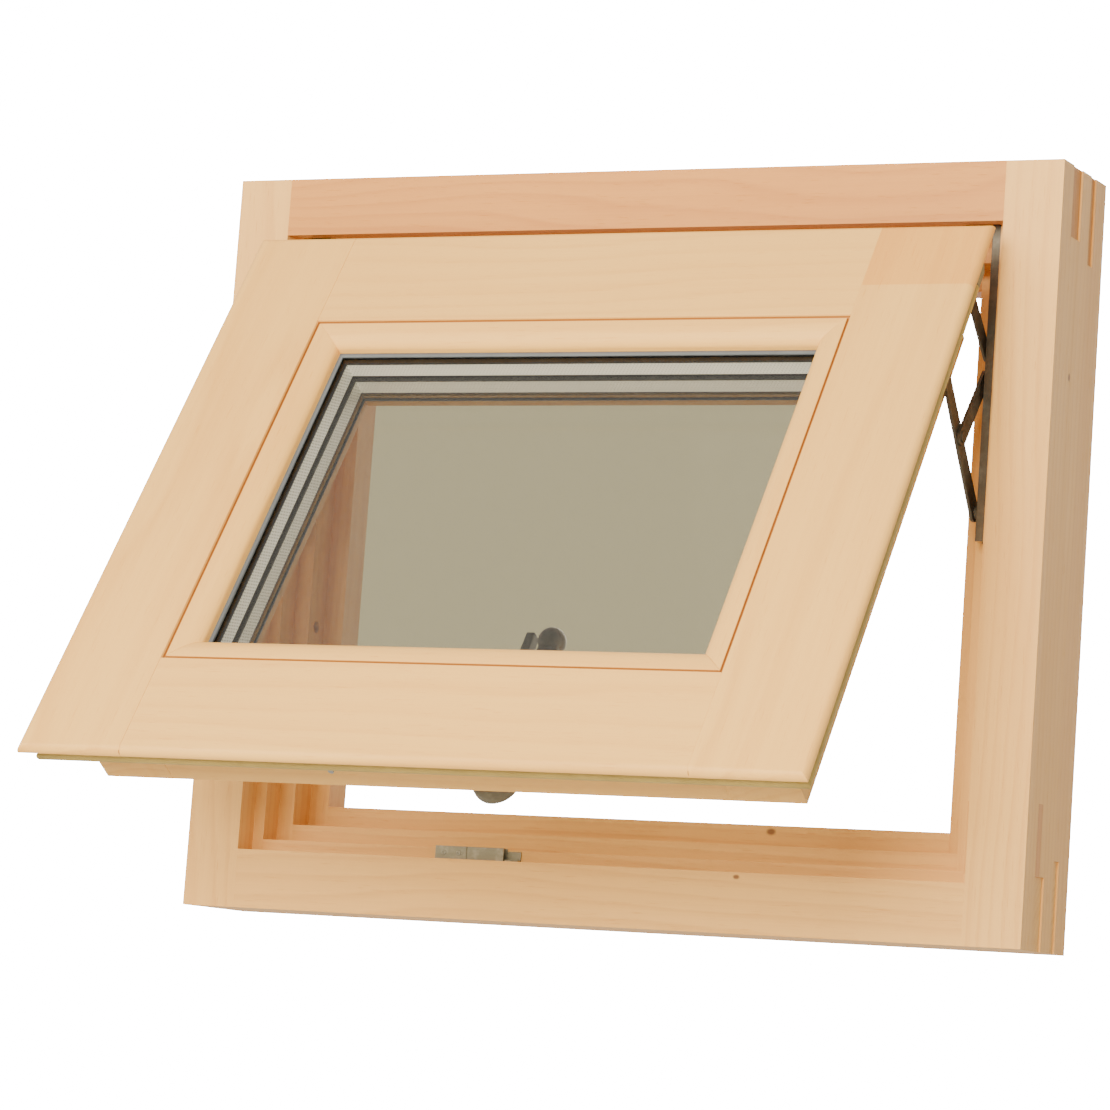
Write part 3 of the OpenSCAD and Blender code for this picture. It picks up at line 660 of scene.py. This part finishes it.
# where the screws stand, in mm: in the frame's places, then in the sash's
trackScrew = {"across": 247.0, "y": -13.0, "heights": (259, 406, 444)}
keeperScrew = {"across": (-109.5, -98.5), "y": -28.2, "height": 43.1}
plateScrew = {"across": 236.3, "drops": (40, 57, 86), "depth": 31.5}
roseScrew = {"across": 8, "drops": (355.5, 380.5), "depth": 67.4}
screwsFor("trackScrews", "track_screws", "frame",
          [(worldPoints(s * trackScrew["across"], trackScrew["y"], z), (-s, 0, 0))
           for s in (-1, 1) for z in trackScrew["heights"]],
          {"radius": 3.6, "height": 0.25, "rise": 0.2, "sink": 0.3, "cross": True})
screwsFor("keeperScrews", "keeper_screws", "frame",
          [(worldPoints(x, keeperScrew["y"], keeperScrew["height"]), (0, -1, 0))
           for x in keeperScrew["across"]],
          {"radius": 1.65, "height": 0.25, "rise": 0.12, "sink": 0.25, "cross": True})
screwsFor("plateScrews", "sash_plate_screws", "sash",
          [(sashPoints(s * plateScrew["across"], v, plateScrew["depth"]), (s, 0, 0))
           for s in (-1, 1) for v in plateScrew["drops"]],
          {"radius": 1.75, "height": 0.15, "rise": 0.1, "sink": 0.2, "cross": True})
screwsFor("roseScrews", "rose_screws", "sash",
          [(sashPoints(roseScrew["across"], v, roseScrew["depth"]), inward) for v in roseScrew["drops"]],
          {"radius": 1.95, "height": 0.6, "rise": 0.3, "sink": 0.5, "cross": True})


def sidePoint(s, x, joint):
    # x mm from the middle on side s, level with the joint's pin
    pos = [j["pos_m"] for j in frame["joints"] if j["name"] == joint][0]
    return np.array([s * x * mm, pos[1], pos[2]])


rivet = {"radius": 4.2, "height": 0.15, "rise": 0.75, "cross": False, "innerFace": 236.85,
         "outerFace": 241.25}
linkRivet = dict(rivet, radius=3.9, height=0.1, rise=0.55)
for side, s in (("right", 1), ("left", -1)):
    pivot = "opening" if s > 0 else "arm_left_swing"
    swing = "link_" + side + "_swing"
    screwsFor("pivotRivet_" + side, None, "frame",
              [(sidePoint(s, rivet["innerFace"], pivot), (-s, 0, 0))], rivet)
    screwsFor("linkRivet_" + side, None, "link_" + side,
              [(sidePoint(s, rivet["innerFace"], swing), (-s, 0, 0)),
               (sidePoint(s, rivet["outerFace"], swing), (s, 0, 0))], linkRivet)
print("screws and rivets made")


# the crank handle, in mm in the sash's own places: the neck is turned round the hub's middle

crank = {"u": 8.0, "hubV": 368.0, "tipV": 263.0, "knobV": 256.5, "midT": 100.0, "knobR": 9.0,
         "neck": [(0, 69.3), (7.7, 69.3), (7.8, 74), (7.9, 82), (8.8, 88), (11.4, 91.4), (14.0, 93.2),
                  (15.0, 95.6), (15.0, 101.0), (14.4, 103.2), (12.4, 104.6), (7.0, 105.0), (0, 105.0)],
         "armWidth": 13.2, "armTaper": 6.4, "armThick": 4.9, "armWaist": 0.3, "armPastTip": 2,
         "armEndShare": 12, "armCorner": 3.4, "voxel": 0.55, "easing": 8}


def bulged(wave):
    # a cosine or sine raised to 2 / n, which turns an ellipse into a rounded rectangle
    return np.sign(wave) * np.abs(wave) ** (2 / crank["armCorner"])


def crankArm():
    # an arm whose section is a rounded rectangle |x/w|^n + |y/h|^n = 1, narrower towards its tip
    angle = np.linspace(0, 2 * math.pi, 48, endpoint=False)
    s, a = np.meshgrid(np.linspace(0, 1, 40), angle, indexing="ij")
    width = crank["armWidth"] - crank["armTaper"] * s ** 0.9
    thick = crank["armThick"] - crank["armWaist"] * np.sin(s * math.pi)
    closing = np.clip(np.sin(np.clip(s * crank["armEndShare"], 0, 1) * math.pi / 2), 0.05, 1)
    length = crank["hubV"] - crank["tipV"] + crank["armPastTip"]
    return withEnds(sashPoints(crank["u"] + width * closing * bulged(np.cos(a)),
                               crank["hubV"] - length * s,
                               crank["midT"] + thick * closing * bulged(np.sin(a))))


def makeCrank():
    # the turned hub, the arm and a ball, fused into one skin
    across, lower, deep = turned(crank["neck"], 72)
    hub = sashPoints(crank["u"] + across, crank["hubV"] + lower, deep)
    polar = np.linspace(0, math.pi, 33)
    radius, height = crank["knobR"] * np.sin(polar), -crank["knobR"] * np.cos(polar)
    across, deep, lower = turned(np.stack([radius, height], -1), 48)
    ball = sashPoints(crank["u"] + across, crank["knobV"] + lower, crank["midT"] + deep)
    rough = surface("crankRough", [hub, crankArm(), ball])
    fused = rough.modifiers.new("fuse", "REMESH")
    fused.mode = "VOXEL"
    fused.voxel_size = crank["voxel"] * mm
    fused.use_smooth_shade = True
    ease = rough.modifiers.new("ease", "SMOOTH")
    ease.factor = 0.5
    ease.iterations = crank["easing"]
    bpy.context.view_layer.update()
    graph = bpy.context.evaluated_depsgraph_get()
    mesh = bpy.data.meshes.new_from_object(rough.evaluated_get(graph))
    bpy.data.objects.remove(rough)
    mesh.name = "crankHandle"
    made = bpy.data.objects.new("crankHandle", mesh)
    bpy.context.collection.objects.link(made)
    mesh.shade_smooth()
    finishPiece(made, "handle", "handle_paint", finishes["handle_paint"], "crank_arm", "crank_knob")


makeCrank()
print("crank made")


# stage, light and camera: the backdrop is as bright as the first number, or the second through the glass

stage = {"floorZ": -0.25, "floorSize": 1.7, "floorPale": (0.66, 0.66, 0.65, 1),
         "floorGrey": (0.60, 0.60, 0.59, 1), "backdrop": 22.0, "throughGlass": 0.84,
         "glassColour": (1.0, 0.885, 0.53, 1.0), "ambient": 0.55, "mirrored": 1.1,
         "ambientColour": (1.0, 0.955, 0.88, 1.0)}


def makeStage():
    half, z = stage["floorSize"], stage["floorZ"]
    mesh = bpy.data.meshes.new("floor")
    mesh.from_pydata([(-half, -half, z), (half, -half, z), (half, half, z), (-half, half, z)],
                     [], [(0, 1, 2, 3)])
    floor = bpy.data.objects.new("floor", mesh)
    bpy.context.collection.objects.link(floor)
    paint = Finish("pale floor")
    grey = paint.noise(paint.objectPlace(), 3.0, 2.0)
    shade = paint.blend(grey * 0.3, stage["floorPale"], stage["floorGrey"])
    mesh.materials.append(paint.surface(colour=shade, roughness=0.8))
    studio = Finish("studio", bpy.data.worlds)
    bpy.context.scene.world = studio.material
    panes = studio.node("LightPath", {}, {}, output="Transparent Depth")
    straight = studio.node("LightPath", {}, {}, output="Is Camera Ray")
    # light that has passed a pane sees the dimmer, warmer backdrop
    strength = studio.node("MapRange", {}, {"Value": panes, "To Min": stage["backdrop"],
                                            "To Max": stage["throughGlass"]})
    tone = studio.blend(panes.clamped(), (1, 1, 1, 1), stage["glassColour"])
    seen = studio.node("Background", {}, {"Color": tone, "Strength": strength})
    shiny = studio.node("LightPath", {}, {}, output="Is Glossy Ray")
    ambient = studio.node("MapRange", {}, {"Value": shiny, "To Min": stage["ambient"],
                                           "To Max": stage["mirrored"]})
    lit = studio.node("Background", {}, {"Color": stage["ambientColour"], "Strength": ambient})
    studio.node("OutputWorld", {}, {0: studio.node("MixShader", {}, {0: straight, 1: lit, 2: seen})})


lampColour = (1.0, 0.94, 0.82)
lampAim = (0.0, -0.1, 0.24)
lights = {
    "key": {"place": (-1.6, -2.6, 1.5), "size": 2.2, "power": 62.0},
    "front": {"place": (0.45, -2.9, 0.72), "size": 1.4, "power": 165.0},
    "room": {"place": (-0.2, 2.6, 1.2), "size": 2.0, "power": 52.0},
}


def makeLights():
    target = Vector(lampAim)
    for name, look in lights.items():
        lamp = bpy.data.lights.new(name, "AREA")
        lamp.shape = "SQUARE"
        lamp.size = look["size"]
        lamp.energy = look["power"]
        lamp.color = lampColour
        holder = bpy.data.objects.new(name, lamp)
        holder.location = look["place"]
        holder.rotation_euler = (target - Vector(look["place"])).to_track_quat("-Z", "Y").to_euler()
        bpy.context.collection.objects.link(holder)


# the lens in widths of the sensor, its shift, the place in metres, and the view's three directions
view = {"lens": 3.88402703, "shift": (-0.12162162, -0.07958559), "sensor": 36.0,
        "place": (1.19679, -2.51771, -0.08324),
        "right": (0.90975095, 0.40968449, 0.06717039),
        "down": (0.00414297, 0.15282897, -0.98824397),
        "forward": (-0.41513381, 0.89933416, 0.13733899)}


def makeCamera():
    lens = bpy.data.cameras.new("camera")
    lens.sensor_width = view["sensor"]
    lens.lens = view["sensor"] * view["lens"]
    lens.shift_x, lens.shift_y = view["shift"]
    lens.clip_start, lens.clip_end = 0.05, 60.0
    holder = bpy.data.objects.new("camera", lens)
    right, lower, ahead = (Vector(view[key]) for key in ("right", "down", "forward"))
    turn = Matrix((right, -lower, -ahead)).transposed().to_4x4()
    holder.matrix_world = Matrix.Translation(view["place"]) @ turn
    bpy.context.collection.objects.link(holder)
    bpy.context.scene.camera = holder


makeStage()
makeLights()
makeCamera()
print("stage ready")
